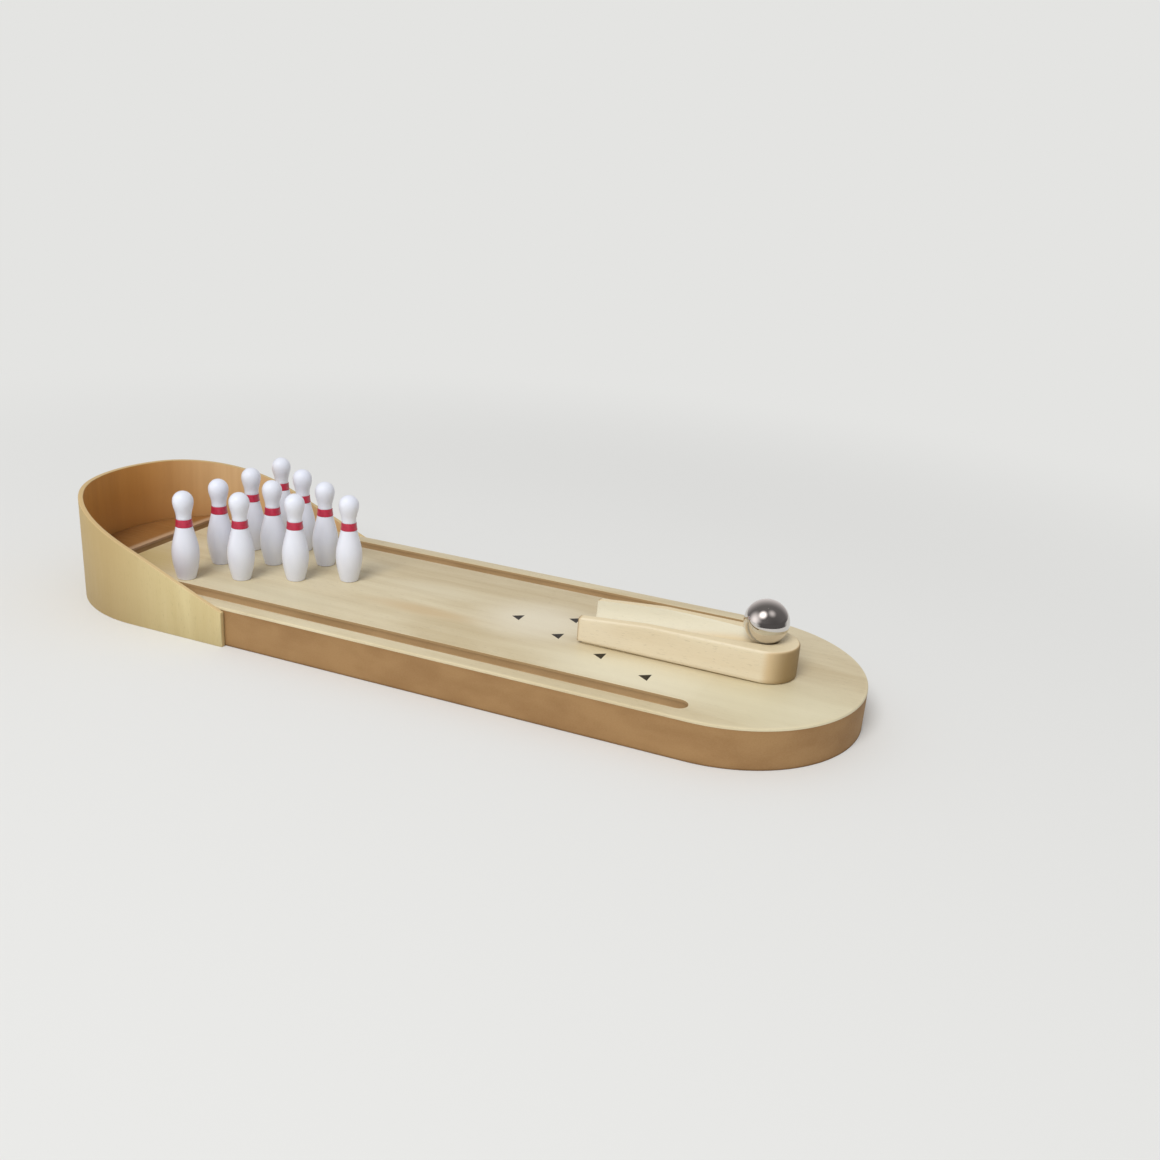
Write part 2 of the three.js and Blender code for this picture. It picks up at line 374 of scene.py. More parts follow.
def strip_section(top, trim):
    """Depth and height of each point of the section, trimmed all round near the strip's ends."""
    low, high = trim, top - trim
    inner, outer = trim, strip_thickness - trim
    section = [(inner, low + strip_chamfer), (inner + strip_chamfer, low)]
    section += [(outer - strip_chamfer, low), (outer, low + strip_chamfer)]
    rounding = quarter_round(4)
    for inwards, down in rounding:
        section.append((outer - strip_edge * inwards, high - strip_edge * down))
    section += [(share * strip_thickness, high) for share in (2 / 3, 1 / 3)]
    for inwards, down in rounding[::-1]:
        section.append((inner + strip_edge * inwards, high - strip_edge * down))
    return np.array(section)


print("half the strip is", round(half_strip, 1), "mm long")

# %% [markdown]
# ## The bent backstop
# The strip is bent round the pin end. A Simple Deform modifier would bend its straight arms too, so
# the stations run up one arm, round the bend and down the other. Each point keeps its place in the
# wood, for the finish.

# %% Bend the strip
end_trims = [(0, 0.14), (0.04, 0.05), (0.14, 0)]
stations = [(strip_arm - back_by, trim) for back_by, trim in end_trims]
stations += [(along, 0) for along in np.linspace(strip_arm - 2, 0, 20)]
bend = np.radians(np.linspace(0, 180, 121))[1:-1]
rings, places = [], []


def add_station(along, angle, distance, trim):
    """One ring: angle is 0 at the near arm, and grows round the bend to 180 degrees."""
    section = strip_section(strip_height(abs(distance)), trim)
    reach = strip_inner + section[:, 0]
    x = middle_x - end_centre + along - reach * math.sin(angle)
    y = -reach * math.cos(angle)
    rings.append(np.column_stack((x, y, section[:, 1])))
    round_bend = np.full(len(section), distance)
    places.append(np.column_stack((section[:, 1], round_bend, section[:, 0])))


for along, trim in stations:
    add_station(along, 0.0, -quarter - along, trim)
for angle in bend:
    add_station(0.0, angle, quarter * (angle / (math.pi / 2) - 1), 0)
for along, trim in stations[::-1]:
    add_station(along, math.pi, quarter + along, trim)
width = len(rings[0])
last = len(rings) * width - 1
strip_faces = [face[::-1] for face in skin(len(rings), width)]
strip_faces += [tuple(range(width)), tuple(range(last, last - width, -1))]
strip = piece_of("bent_backstop", np.vstack(rings), strip_faces, flat_ends=2)
strip.data.set_sharp_from_angle(angle=wood_crease)
grain_place = strip.data.attributes.new("grain_place", "FLOAT_VECTOR", "POINT")
grain_place.data.foreach_set("vector", (np.vstack(places) * MM).astype(np.float32).ravel())
in_place(strip, "board", "backstop", "backstop")

# %% [markdown]
# ## The ramp's surfaces
# The ramp is solid wood with a round rear end, a slanting top and a channel from the ball's seat
# down to the lane. Booleans would cut it, but its long rim then can't be rounded, so each surface
# is a small sum. Places count from the seat's middle. A rebate round the foot leaves the dark line
# above the lane.

# %% Measure the ramp and shape its surfaces
ramp_low, ramp_high = millimetre_box("ramp")
ramp_floor = ramp_low[2]
ramp_height = ramp_high[2] - ramp_floor
half_width = (ramp_high[1] - ramp_low[1]) / 2
seat_inset, seat_depth, pad_length = 11.8, 1.7, 49
channel_radius, lip_thickness, front_wall = 7.75, 0.6, 1.0
ramp_front = seat_inset - (ramp_high[0] - ramp_low[0])
rear_centre = seat_inset - half_width
seat_floor = ramp_height - seat_depth
seat_height = seat_floor + channel_radius
channel_pitch = math.atan((seat_floor - lip_thickness) / -ramp_front)
slant_end = seat_inset - pad_length
front_height = lip_thickness + channel_radius + front_wall
top_slope = (ramp_height - front_height) / (slant_end - ramp_front)
top_easing = 1.5
rebate_depth, rebate_front, rebate_rear = 1.3, 1.0, 0.4


def ramp_top(x):
    """The height of the ramp's top: level on the pad and slanting down in front of it."""
    return slanting(slant_end - x, top_easing, ramp_height, top_slope)


def channel_floor(x, y):
    """The height of the channel's floor, which is a slanting round bar with a ball-shaped end."""
    if abs(y) >= channel_radius:
        return seat_height
    across = math.sqrt(1 - (y / channel_radius) ** 2)
    bar = x * math.tan(channel_pitch) - channel_radius / math.cos(channel_pitch) * across
    if -x * math.cos(channel_pitch) - bar * math.sin(channel_pitch) >= 0:
        return seat_height + bar
    return seat_height - math.sqrt(max(channel_radius**2 - x * x - y * y, 0))


def wall_distance(angle, trim):
    """How far the wall is from the seat's middle. The angle is 0 at the side and 90 behind."""
    radius = half_width - trim
    if math.cos(angle) > 1e-6 and radius * math.tan(angle) <= rear_centre:
        return radius / math.cos(angle)
    ahead = rear_centre * math.sin(angle)
    return ahead + math.sqrt(ahead**2 - rear_centre**2 + radius**2)


def rebate_height(x):
    """The rebate under the block's edge is a hair higher in front than behind."""
    share = (x - ramp_front) / (seat_inset - ramp_front)
    return rebate_front + (rebate_rear - rebate_front) * share


print("the channel's floor is", round(channel_floor(0, 0), 2), "high in the seat")

# %% [markdown]
# ## One ring of the ramp
# Each ring climbs the wall, crosses the top and drops into the channel where the top meets its
# floor. An equation for that rim would be long, so a short search finds it by halving.

# %% Cross the ramp at one station
wall_rounding, rim_rounding, foot_chamfer = 0.75, 0.3, 0.12


def find_rim(top_at, floor_at, far):
    """The distance from the middle at which the channel's floor reaches the top."""
    near = 0.0
    for _ in range(40):
        middle = (near + far) / 2
        if floor_at(middle) < top_at(middle) - 1e-9:
            near = middle
        else:
            far = middle
    return near


def ramp_ring(x, angle, side, trim):
    """The points from the foot over the rim to the channel's middle, at one station."""
    ahead, sideways = math.sin(angle), side * math.cos(angle)

    def reach(extra):
        return wall_distance(angle, trim + extra)

    def top_at(distance):
        return ramp_top(x + distance * ahead) - trim

    def floor_at(distance):
        return channel_floor(x + distance * ahead, distance * sideways) - trim

    wall, land = reach(0), reach(wall_rounding)
    rim = min(find_rim(top_at, floor_at, wall), land - rim_rounding - 0.3)
    step = rebate_height(x + wall * ahead)
    foot = step if x < ramp_front + rebate_depth - 0.01 else 0.0
    wall_top = top_at(land)
    points = [(reach(rebate_depth), foot), (reach(rebate_depth), step)]
    points += [(reach(foot_chamfer), step), (wall, step + foot_chamfer)]
    points += [(wall, 1.9), (wall, wall_top - wall_rounding - 0.8)]
    for inwards, down in quarter_round(5):
        points.append((reach(wall_rounding * inwards), wall_top - wall_rounding * down))
    shoulder = rim + rim_rounding
    for share in (0.12, 0.5, 0.88):
        distance = land + (shoulder - land) * share
        points.append((distance, top_at(distance)))
    points.append((shoulder, top_at(shoulder)))
    points.append((rim + 0.3 * rim_rounding, top_at(rim) - 0.12 * rim_rounding))
    below = rim - 0.3 * rim_rounding
    points.append((below, min(floor_at(below), top_at(rim) - 0.5 * rim_rounding)))
    widest = math.asin(min((rim - rim_rounding) / channel_radius, 1))
    for share in np.linspace(1, 0, 13):
        distance = channel_radius * math.sin(widest * share)
        points.append((distance, floor_at(distance)))
    return [(x + distance * ahead, distance * sideways, height) for distance, height in points]


print("a ring of the ramp has", len(ramp_ring(0.0, 0.0, 1, 0.0)), "points")

# %% [markdown]
# ## The ramp's skin
# The rings run down the near side, turn like a clock's hand behind the seat, and come back.
# Straight cuts would crowd their points at the round end. The first rings are smaller, which breaks
# the front edge.

# %% Make the ramp
front_trim = 0.18
ramp_stations = [
    (ramp_front + front_trim * down, front_trim * inwards) for inwards, down in quarter_round(3)
]
straight = np.concatenate((
    ramp_front + np.array([0.8, rebate_depth - 0.02, rebate_depth]),
    np.linspace(ramp_front + 3, slant_end - 3, 12),
    slant_end + np.array([-1.5, -0.75, 0, 0.75, 1.5]),
    np.linspace(slant_end + 3, 0, 14),
))
ramp_stations += [(x, 0.0) for x in straight]
behind = np.radians(np.linspace(0, 90, 37))
ramp_rings = [ramp_ring(x, 0.0, -1, trim) for x, trim in ramp_stations]
ramp_rings += [ramp_ring(0.0, angle, -1, 0.0) for angle in behind[1:]]
ramp_rings += [ramp_ring(0.0, angle, 1, 0.0) for angle in behind[-2:0:-1]]
ramp_rings += [ramp_ring(x, 0.0, 1, trim) for x, trim in ramp_stations[::-1]]
width = len(ramp_rings[0])
last_ring = (len(ramp_rings) - 1) * width
foot_starts = ramp_front + rebate_depth - 0.01
foot_from = [x >= foot_starts for x, _ in ramp_stations].index(True) * width
ramp_faces = skin(len(ramp_rings), width, round_about=False)
for near in range(0, foot_from, width):
    ramp_faces.append((near, near + width, last_ring - near - width, last_ring - near))
ramp_faces.append((*range(width), *range(last_ring + width - 2, last_ring - 1, -1)))
ramp_faces.append(tuple(range(last_ring - foot_from, foot_from - 1, -width)))
ramp_points = np.vstack(ramp_rings) + (ramp_high[0] - seat_inset, 0, ramp_floor)
ramp = weld(piece_of("launch_ramp", ramp_points, ramp_faces, flat_ends=2), turn_outwards=True)
ramp.data.set_sharp_from_angle(angle=wood_crease)
in_place(ramp, "ramp", "ramp", "ramp")

# %% [markdown]
# ## The steel ball
# The ball is a plain bearing ball. Blender's own sphere has poles, which a mirror shows as a star.
# A cube pushed out onto the sphere has even faces, so reflections run smoothly.

# %% Make the ball
ball_low, ball_high = millimetre_box("ball")
ball_middle = (ball_low + ball_high) / 2
ball_radius = (ball_high[2] - ball_low[2]) / 2
shape = bmesh.new()
bmesh.ops.create_cube(shape, size=2)
bmesh.ops.subdivide_edges(shape, edges=shape.edges, cuts=27, use_grid_fill=True)
ball_points = np.tan(np.array([corner.co for corner in shape.verts]) * math.pi / 4)
ball_points /= np.linalg.norm(ball_points, axis=1)[:, None]
ball_faces = [tuple(corner.index for corner in face.verts) for face in shape.faces]
shape.free()
ball = piece_of("steel_ball", ball_points * ball_radius + ball_middle, ball_faces)
in_place(ball, "ball", "steel", "ball")

# %% [markdown]
# ## The pin's curve
# Each pin is turned on a lathe: small foot, full belly, slim neck, round head. A subdivided
# cylinder could be pushed into shape, but a profile of gentle waves gives the exact curve.

# %% The pin's sizes and its radius at each height
pin_height = 33
foot_radius, belly_radius, neck_radius, head_radius = 3.4, 4.9, 2.65, 3.7
foot_round = 0.4
belly_at, neck_at, head_at = (share * pin_height for share in (0.29, 0.705, 0.885))


def eased(start, end, share):
    """A value that leaves start and reaches end gently."""
    return start + (end - start) * (1 - math.cos(math.pi * share)) / 2


def pin_radius(height):
    """The pin's radius at a height above the rounding of its foot."""
    if height <= belly_at:
        rise = (height - foot_round) / (belly_at - foot_round)
        return foot_radius + (belly_radius - foot_radius) * math.sin(math.pi / 2 * rise)
    if height <= neck_at:
        return eased(belly_radius, neck_radius, (height - belly_at) / (neck_at - belly_at))
    if height <= head_at:
        return eased(neck_radius, head_radius, (height - neck_at) / (head_at - neck_at))
    return head_radius * math.sqrt(max(0, 1 - ((height - head_at) / (pin_height - head_at)) ** 2))


print("radius at 5, 15 and 25 mm:", [round(pin_radius(height), 2) for height in (5, 15, 25)])

# %% [markdown]
# ## Turning a pin and its band
# A Screw modifier could spin the profile, but leaves a seam. The foot is hollow, so that the pin
# stands on its rim. A second colour would do for the band from far off, but paint stands a little
# proud and its soft edges catch the light, so it is turned too.

# %% Turn the pin and the band
sides = 64
band_middle, band_half = 0.645 * pin_height, 1.45
band_low, band_high = band_middle - band_half, band_middle + band_half
groove_radius, step = 2.6, 0.06


def between(low, high, steps):
    """Points of the pin's profile between two heights."""
    return [(pin_radius(height), height) for height in np.linspace(low, high, steps + 1)]


def turned(name, profile):
    """A body turned from a profile of radii and heights."""
    angles = np.linspace(0, 2 * math.pi, sides, endpoint=False)
    rings = [
        np.column_stack((radius * np.cos(angles), radius * np.sin(angles), np.full(sides, height)))
        for radius, height in profile
    ]
    return weld(piece_of(name, np.vstack(rings), skin(len(rings), sides)))


foot = [(0, 0.16), (1.4, 0.16), (2.2, 0.12), (2.7, 0.02), (foot_radius - foot_round, 0.0)]
for inwards, down in quarter_round(4)[1:-1]:
    foot.append((foot_radius - foot_round * down, foot_round * inwards))
groove = [
    (pin_radius(band_low) - step / 2, band_low - step / 3),
    (pin_radius(band_low) - step, band_low),
    (groove_radius, band_low + step / 3),
    (groove_radius, band_high - step / 3),
    (pin_radius(band_high) - step / 2, band_high),
]
crown = []
for angle in np.radians(np.linspace(0, 90, 13))[1:]:
    height = head_at + (pin_height - head_at) * math.sin(angle)
    crown.append((head_radius * math.cos(angle), height))
pin_profile = foot + between(foot_round, belly_at, 12)
pin_profile += between(belly_at, band_low - step, 22)[1:] + groove
pin_profile += between(band_high + step, head_at, 14) + crown
pin_pattern = turned("pin_pattern", pin_profile)
band_radius, paint_proud = 3.1, 0.15
inner_radius = groove_radius + 0.05
soft_edge = [(0.05, 0.12), (0.09, 0.05), (0.18, 0.01)]


def band_at(above, sunk=0.0):
    """A point of the band's outside, counted from its lower edge, or back from its upper one."""
    height = band_low + above if above > 0 else band_high + above
    return (min(band_radius, pin_radius(height) + paint_proud) - sunk, height)


band_profile = [(inner_radius, band_low + step)]
band_profile += [band_at(above, sunk) for above, sunk in soft_edge]
band_profile += [band_at(above) for above in (0.4, 0.8, 1.2, 1.6, 2.0, 2.4)]
band_profile += [band_at(-below, sunk) for below, sunk in soft_edge[::-1]]
band_profile += [(inner_radius, band_high - step), (inner_radius, band_low + step)]
band_pattern = turned("band_pattern", band_profile)
print("the band is", round(band_high - band_low, 2), "mm wide")

# %% [markdown]
# ## Setting up the ten pins
# The pins stand in rows of one, two, three and four, and share one mesh, as real ones share a
# copying lathe. An array could set them out, but the frame knows each place, and each rides on its
# own body.

# %% Set up the pins
pins, bands = [], []
for number in range(1, 11):
    low, high = millimetre_box(f"pin_{number}")
    spot = Vector(((low[0] + high[0]) / 2, (low[1] + high[1]) / 2, low[2])) * MM
    pin = bpy.data.objects.new(f"pin_body_{number}", pin_pattern.data)
    band = bpy.data.objects.new(f"pin_band_{number}", band_pattern.data)
    for part, slot, node in ((pin, "pin_white", "pin"), (band, "stripe_crimson", "stripe")):
        bpy.context.scene.collection.objects.link(part)
        part.location = spot
        in_place(part, f"pin_{number}", slot, f"{node}_{number}")
    pins.append(pin)
    bands.append(band)
bpy.data.objects.remove(pin_pattern)
bpy.data.objects.remove(band_pattern)
print("pins set up:", len(pins))

# %% [markdown]
# ## Helpers for finishes
# Each finish is a tree of nodes that ends in a Principled shader. Wiring it takes many lines, so
# these helpers name what is used over and over. They work on the material in hand, the one begun
# last.


# %% Wire up nodes
def finish(name, **numbers):
    """Begins a material and takes it in hand, with its tree and its shader's numbers."""
    global material, tree, shader
    material = bpy.data.materials.new(name)
    material.use_nodes = True
    tree = material.node_tree
    shader = tree.nodes["Principled BSDF"]
    for socket, value in numbers.items():
        shader.inputs[socket.replace("_", " ")].default_value = value


def add(kind, sockets=None, **options):
    """A node of this kind, with its sockets set to numbers or linked to other sockets."""
    made = tree.nodes.new("ShaderNode" + kind)
    for option, value in options.items():
        setattr(made, option, value)
    for socket, value in (sockets or {}).items():
        if isinstance(value, bpy.types.NodeSocket):
            tree.links.new(value, made.inputs[socket])
        else:
            made.inputs[socket].default_value = value
    return made


def maths(operation, *values):
    """One sum on numbers."""
    return add("Math", dict(enumerate(values)), operation=operation).outputs[0]


def vector_maths(operation, *values):
    """One sum on places."""
    made = add("VectorMath", dict(enumerate(values)), operation=operation)
    return made.outputs[1 if operation == "LENGTH" else 0]


def axis_of(vector, axis):
    """One part of a place or direction: 0 for x, 1 for y and 2 for z."""
    return add("SeparateXYZ", {0: vector}).outputs[axis]


def product(first, second):
    """Two shares multiplied."""
    return maths("MULTIPLY", first, second)


def sum_of(*terms):
    """The sum of sockets, each times its weight."""
    total = None
    for socket, weight in terms:
        part = product(socket, weight)
        total = part if total is None else maths("ADD", total, part)
    return total


print("node helpers ready in Blender", bpy.app.version_string)

# %% [markdown]
# ## Patterns, places and colours
# A pattern is noise stretched to the size of a grain or a speck, and spread over the range that
# shows. Colours are written as they look on screen, from 0 to 255, and a helper turns them into
# Blender's light.


# %% Noise, places, tints and relief
def noise(place, stretch, detail=2.0, roughness=0.5, distortion=0.0):
    """Noise over a place, with so many spots to the metre along each axis."""
    scaled = vector_maths("MULTIPLY", place, stretch)
    sockets = {"Vector": scaled, "Scale": 1.0, "Detail": detail}
    sockets |= {"Roughness": roughness, "Distortion": distortion}
    return add("TexNoise", sockets).outputs[0]


def spread(value, low, high, to_low=0.0, to_high=1.0):
    """Stretches a value smoothly from one range to another."""
    sockets = {"Value": value, "From Min": low, "From Max": high}
    sockets |= {"To Min": to_low, "To Max": to_high}
    return add("MapRange", sockets, interpolation_type="SMOOTHSTEP").outputs[0]


def own_place():
    """The place in the piece's own space, in metres."""
    return add("TexCoord").outputs["Object"]


def own_facing(axis):
    """The part of the surface's direction along one axis of the piece."""
    return axis_of(add("TexCoord").outputs["Normal"], axis)


def colour(red, green, blue):
    """A colour from its 0 to 255 values on screen."""
    shares = (value / 255 for value in (red, green, blue))
    light = (s / 12.92 if s <= 0.04045 else ((s + 0.055) / 1.055) ** 2.4 for s in shares)
    return (*light, 1.0)


def tint(share, first, second):
    """A mix of two colours, each a socket, a light, or a triple of 0 to 255 values on screen."""
    first, second = (
        colour(*c) if isinstance(c, tuple) and len(c) == 3 else c for c in (first, second)
    )
    return add("Mix", {0: share, 6: first, 7: second}, data_type="RGBA").outputs[2]


def relief(height, distance):
    """Raises the surface by a fine relief, whose height 1 stands for this distance."""
    bump = add("Bump", {"Height": height, "Distance": distance * MM, "Strength": 1.0})
    tree.links.new(bump.outputs[0], shader.inputs["Normal"])


def put_on(piece, base, gloss=None):
    """Links the colour, and a new roughness if there is one, and puts the material on a piece."""
    tree.links.new(base, shader.inputs["Base Color"])
    if gloss is not None:
        tree.links.new(gloss, shader.inputs["Roughness"])
    piece.data.materials.append(material)
    print(material.name, "has", len(tree.nodes), "nodes")


print("half white on screen is", round(colour(128, 128, 128)[0], 3), "of the light")

# %% [markdown]
# ## The pale wood
# The veneer is a close-grained pale wood. A photograph of wood would repeat and fix the light. So
# clouds, streaks, growth lines, fibres and pores are five patterns along the grain, and the fibres
# drive the gloss and a shallow relief.


# %% Pale wood for sheets, ramp and strip
def wood_layers(place, offset):
    """Clouds, streaks, growth lines, fibres and pores. The place's first axis is the grain."""
    place = vector_maths("ADD", place, offset)
    clouds = noise(place, (14, 52, 52), 2.0, 0.5, 0.8)
    streaks = noise(place, (8, 190, 190), 3.0, 0.6, 0.5)
    growth = vector_maths("MULTIPLY", place, (3.0, 42, 42))
    wave = {"Vector": growth, "Scale": 1.0, "Distortion": 6.0, "Detail": 2.0, "Detail Scale": 1.2}
    lines = add("TexWave", wave, wave_type="BANDS", bands_direction="Y").outputs[1]
    fibres = noise(place, (75, 2300, 2300), 3.0, 0.6)
    pores = spread(noise(place, (420, 4600, 4600), 1.0), 0.66, 0.74)
    clouds = spread(clouds, 0.34, 0.7)
    return clouds, spread(streaks, 0.3, 0.72), spread(lines, 0.4, 1.0), fibres, pores


def wood_finish(name, pale, dark, place_of, offset, gloss=0.42, figure=1.0):
    """A pale wood. place_of gives the socket with the place, and figure is the contrast."""
    finish(name, Specular_IOR_Level=0.3)
    clouds, streaks, lines, fibres, pores = wood_layers(place_of(), offset)
    grain = ((clouds, 0.46 * figure), (streaks, 0.15 * figure), (lines, 0.07 * figure))
    base = tint(sum_of(*grain, (fibres, 0.24)), pale, dark)
    pore_dark = (*(0.45 * value for value in colour(*dark)[:3]), 1.0)
    base = tint(product(pores, 0.3), base, pore_dark)
    shine = spread(fibres, 0.3, 0.7, gloss - 0.05, gloss + 0.09)
    tree.links.new(shine, shader.inputs["Roughness"])
    relief(sum_of((fibres, 0.8), (pores, -0.6), (lines, 0.15)), 0.03)
    return base


print("the pores are about", round(1000 / 420, 1), "mm long")

# %% [markdown]
# ## Finishing the catch
# The catch is browner and duller than the lane. A darker tint of the same finish would show too
# much figure, so it has less, and its front border is paler.

# %% Finish the catch
base = wood_finish(
    "catch_wood", (154, 109, 61), (132, 89, 47), own_place, (0.31, 0.12, 0.05), 0.5, 0.6
)
along = axis_of(own_place(), 0)
border_starts, border_full = catch_high[0] - 3.4, catch_high[0] - 1.2
# paler along the catch's front border
pale_front_border = spread(along, border_starts * MM, border_full * MM, 0.0, 0.7)
base = tint(pale_front_border, base, (196, 168, 138))
put_on(catch, base)

# %% [markdown]
# ## Finishing the ramp
# The ramp is solid, so its ends show darker end grain. A second material needs an edge to end at,
# and the round end has none. So the surface's direction gives the end grain, a top painted warmer
# to offset the grey sheen that reflections lay on it, and a painted highlight that makes the
# channel pale.

# %% Finish the ramp
base = wood_finish(
    "ramp_wood", (234, 223, 198), (208, 189, 153), own_place, (0.77, 0.43, 0.21), 0.52, 0.8
)
end_grain = maths("ABSOLUTE", own_facing(0))
base = tint(spread(end_grain, 0.05, 0.35, 0.0, 0.6), base, (222, 191, 142))
base = tint(spread(end_grain, 0.05, 0.85), base, (154, 129, 89))
# painted to offset sheen: surfaces facing up are tinted warmer against the grey of reflections
warm_top_against_sheen = spread(own_facing(2), 0.85, 1.0, 0.0, 0.4)
base = tint(warm_top_against_sheen, base, (228, 206, 158))
across = axis_of(own_place(), 1)
facing_in = product(across, own_facing(1))
# painted highlight: the channel's inner walls are made paler
painted_channel_highlight = spread(facing_in, -0.5 * MM, -3.5 * MM, 0.0, 0.5)
base = tint(painted_channel_highlight, base, (221, 222, 206))
put_on(ramp, base)

# %% [markdown]
# ## The lane's wood
# The lane is paler round the arrows and beside the ramp, and has a tan streak. Behind the pins it is
# painted browner, as painted shade under the backstop's near arm. Painting these would need an
# image, so each is a soft oval patch with its own place, size and shade.

# %% Mark the lane's wood and its painted shade
patch_height = 9
lane_marks_and_shade = (  # middle, half size, strength, shade
    ((-4, -12), (32, 7), 0.7, (200, 174, 132)),
    ((-8, 7), (26, 9), 0.4, (216, 206, 178)),
    ((36, 0), (31, 25), 0.75, (226, 217, 195)),
    ((82, -24), (52, 18), 0.75, (231, 224, 198)),
    ((130, -24), (46, 34), 0.6, (222, 215, 184)),
    ((-60, -26), (45, 12), 0.4, (208, 200, 172)),
    # painted shade behind the pins, under the backstop's near arm
    ((-120, -20), (30, 22), 0.9, (190, 170, 120)),
)


def patch(place, middle, size):
    """1 in the middle of a soft oval patch on the lane and 0 outside it."""
    middle, size = (*middle, lane_top), (*size, patch_height)
    off = vector_maths("SUBTRACT", place, [MM * value for value in middle])
    off = vector_maths("DIVIDE", off, [MM * value for value in size])
    return spread(vector_maths("LENGTH", off), 1.0, 0.15)


base = wood_finish(
    "lane_wood", (219, 207, 176), (186, 166, 126), own_place, (0, 0, 0), 0.4, 0.9
)
place = own_place()
for middle, size, strength, shade in lane_marks_and_shade:
    share = product(patch(place, middle, size), strength)
    base = tint(share, base, shade)
print("patches on the lane:", len(lane_marks_and_shade))

# %% [markdown]
# ## The seven arrows
# Seven small dark arrows are printed in a V. Print has no thickness, and an image would blur close
# up. So they are worked out from the place: the distance to the middle line gives the arrow's
# number, and three sides its shape.

# %% Print the arrows
arrow_pitch, arrow_step = 8.1 * MM, 18.7 * MM
arrow_tip, arrow_length, arrow_half = 25.6 * MM, 3.8 * MM, 2.6 * MM
along, across, upwards = add("SeparateXYZ", {0: place}).outputs
aside = maths("ABSOLUTE", across)
number = maths("MINIMUM", maths("ROUND", maths("DIVIDE", aside, arrow_pitch)), 3.0)
tip_x = maths("MULTIPLY_ADD", number, arrow_step, arrow_tip)
behind_tip = maths("DIVIDE", maths("SUBTRACT", along, tip_x), arrow_length)
off_middle = maths("SUBTRACT", aside, maths("MULTIPLY", number, arrow_pitch))
off_middle = maths("DIVIDE", maths("ABSOLUTE", off_middle), arrow_half)
ragged = noise(place, (2600, 2600, 2600), 2.0)
edge = maths("SUBTRACT", behind_tip, off_middle)
edge = maths("ADD", edge, maths("MULTIPLY_ADD", ragged, 0.12, -0.06))
sides_of_arrow = spread(edge, -0.03, 0.03)
arrow = product(sides_of_arrow, spread(behind_tip, 1.02, 0.98))
on_top = spread(upwards, (lane_top - 0.1) * MM, (lane_top - 0.05) * MM)
arrow = product(arrow, on_top)
print("the arrows are", round(arrow_length / MM, 1), "mm long")

# %% [markdown]
# ## The lane's edges
# The outer edge is a little paler, and the router has left the gutters' edges brown. The Bevel
# node finds edges but can't tell them apart. The distance from the line between the round ends can.


# %% Finish the lane
def distance_out():
    """How far a place is from the line between the middles of the board's two round ends."""
    off = vector_maths("SUBTRACT", own_place(), (middle_x * MM, 0, 0))
    off = vector_maths("ABSOLUTE", off)
    off = vector_maths("SUBTRACT", off, (end_centre * MM, 0, 0))
    off = vector_maths("MAXIMUM", off, (0, 0, 0))
    off = vector_maths("MULTIPLY", off, (1, 1, 0))
    return vector_maths("LENGTH", off)


inner_starts, inner_full = (end_radius - 1.5) * MM, (end_radius - 3) * MM
outward_by = distance_out()
# a little paler near the outer edge
pale_outer_edge = spread(outward_by, (end_radius - 1.3) * MM, (end_radius - 0.2) * MM, 0.0, 0.2)
base = tint(pale_outer_edge, base, (226, 212, 176))
inner = spread(outward_by, inner_starts, inner_full)
upright = spread(own_facing(2), 0.75, 0.35)
base = tint(product(inner, upright), base, (178, 150, 110))
base = tint(arrow, base, (38, 32, 22))
put_on(lane, base)

# %% [markdown]
# ## Brown fibreboard
# Pressed fibreboard has tiny fibres, soft blotches and darker skins towards both faces. One brown
# would do from far off, but here height gives the skins, and noise at two scales the rest. Where it
# is routed it is paler, and a little darker just under the veneer. A painted shade darkens the very
# bottom edge, where the board stands on the floor.

# %% Finish the core
finish("fibreboard", Specular_IOR_Level=0.25)
place = own_place()
blotches = spread(noise(place, (45, 45, 90), 3.0, 0.55), 0.35, 0.68)
fibres = noise(place, (1500, 1500, 2600), 3.0, 0.7)
upwards = axis_of(place, 2)
lower_skin = spread(upwards, 3.2 * MM, 1.0 * MM)
upper_skin = spread(upwards, 11.4 * MM, 13.2 * MM)
depth = sum_of((blotches, 0.32), (fibres, 0.38), (lower_skin, 0.05), (upper_skin, 0.08))
base = tint(depth, (170, 135, 92), (130, 94, 57))
inner = spread(distance_out(), inner_starts, inner_full)
base = tint(inner, base, tint(depth, (190, 162, 122), (154, 124, 86)))
# a little darker just under the veneer, in the routed cuts
darker_under_veneer = product(inner, spread(upwards, 12.2 * MM, 13.2 * MM, 0.0, 0.2))
base = tint(darker_under_veneer, base, (112, 84, 50))
# painted shade: the bottom sheet's edge darkened towards the floor
base = tint(spread(upwards, 0.9 * MM, 0.1 * MM, 0.0, 0.6), base, (92, 66, 40))
relief(fibres, 0.05)
put_on(core, base, spread(fibres, 0.3, 0.7, 0.62, 0.78))
balance.data.materials.append(material)

# %% [markdown]
# ## The backstop's finish
# The grain stands upright, because the strip bends most easily across it. Object coordinates would
# run straight through the bend, so the finish follows the place stored with each point. The outer
# ply is painted darker round the bend as painted shade, and the middle one shows on the edges. The
# inner one is painted brown towards the back of the bend as painted shade, paler towards the far
# arm, and lighter low down as painted light. A second material would leave a hard line, so depth
# turns one wood into the other.


# %% Finish the backstop
def strip_place():
    """The place along the strip: up the grain, round the bend, and into the plies."""
    return add("Attribute", attribute_name="grain_place").outputs["Vector"]


